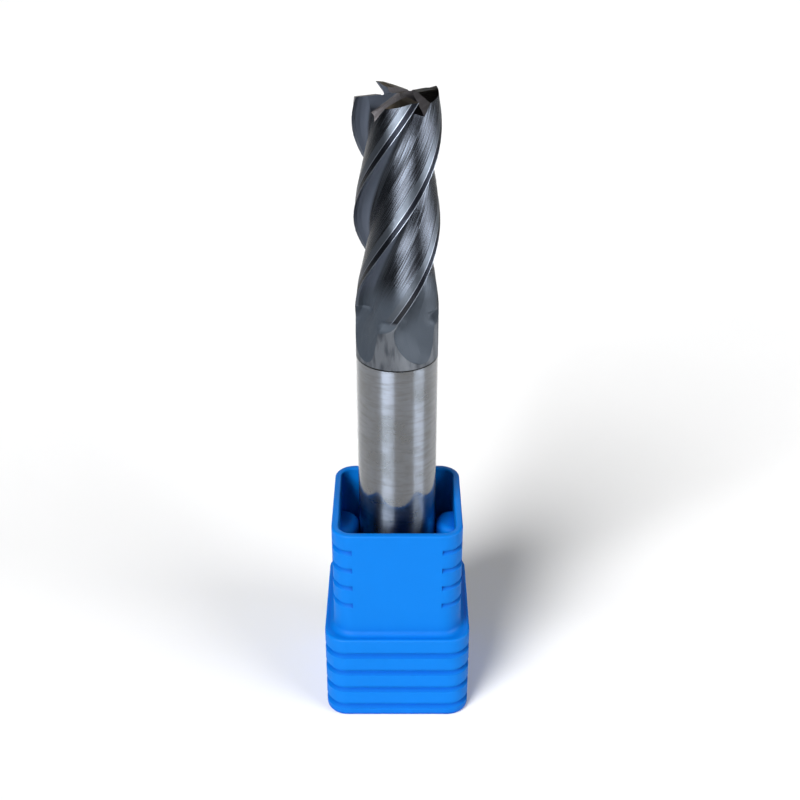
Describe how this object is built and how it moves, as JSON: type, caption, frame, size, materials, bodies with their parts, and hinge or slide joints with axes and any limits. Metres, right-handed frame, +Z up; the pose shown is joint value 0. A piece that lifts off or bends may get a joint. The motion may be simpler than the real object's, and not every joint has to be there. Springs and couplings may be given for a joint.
{
  "type": "end mill",
  "caption": "Square-end solid carbide end mill with helical flutes and a plain shank, standing upright in the square plastic base of its storage tube.",
  "frame": {"origin": "centre of the base's footprint, on the surface it stands on; the tool's axis passes through it", "axes": "+Z up along the tool's axis towards the end teeth; -Y is the side that the picture shows, square to one flat side of the base; +X to the right in it"},
  "size_m": [0.0182, 0.0182, 0.0785],
  "materials": {
    "carbide": "ground, with a dark grey coating on the cutting end",
    "base_plastic": "smooth moulded blue plastic"
  },
  "bodies": {
    "base": {"storage_base": "base_plastic"},
    "mill": {"end_mill": "carbide"}
  },
  "joints": [
    {"name": "mill_lift", "type": "slide", "parent": "base", "child": "mill", "axis": [0, 0, 1], "range_m": [0, 0.0252]}
  ]
}
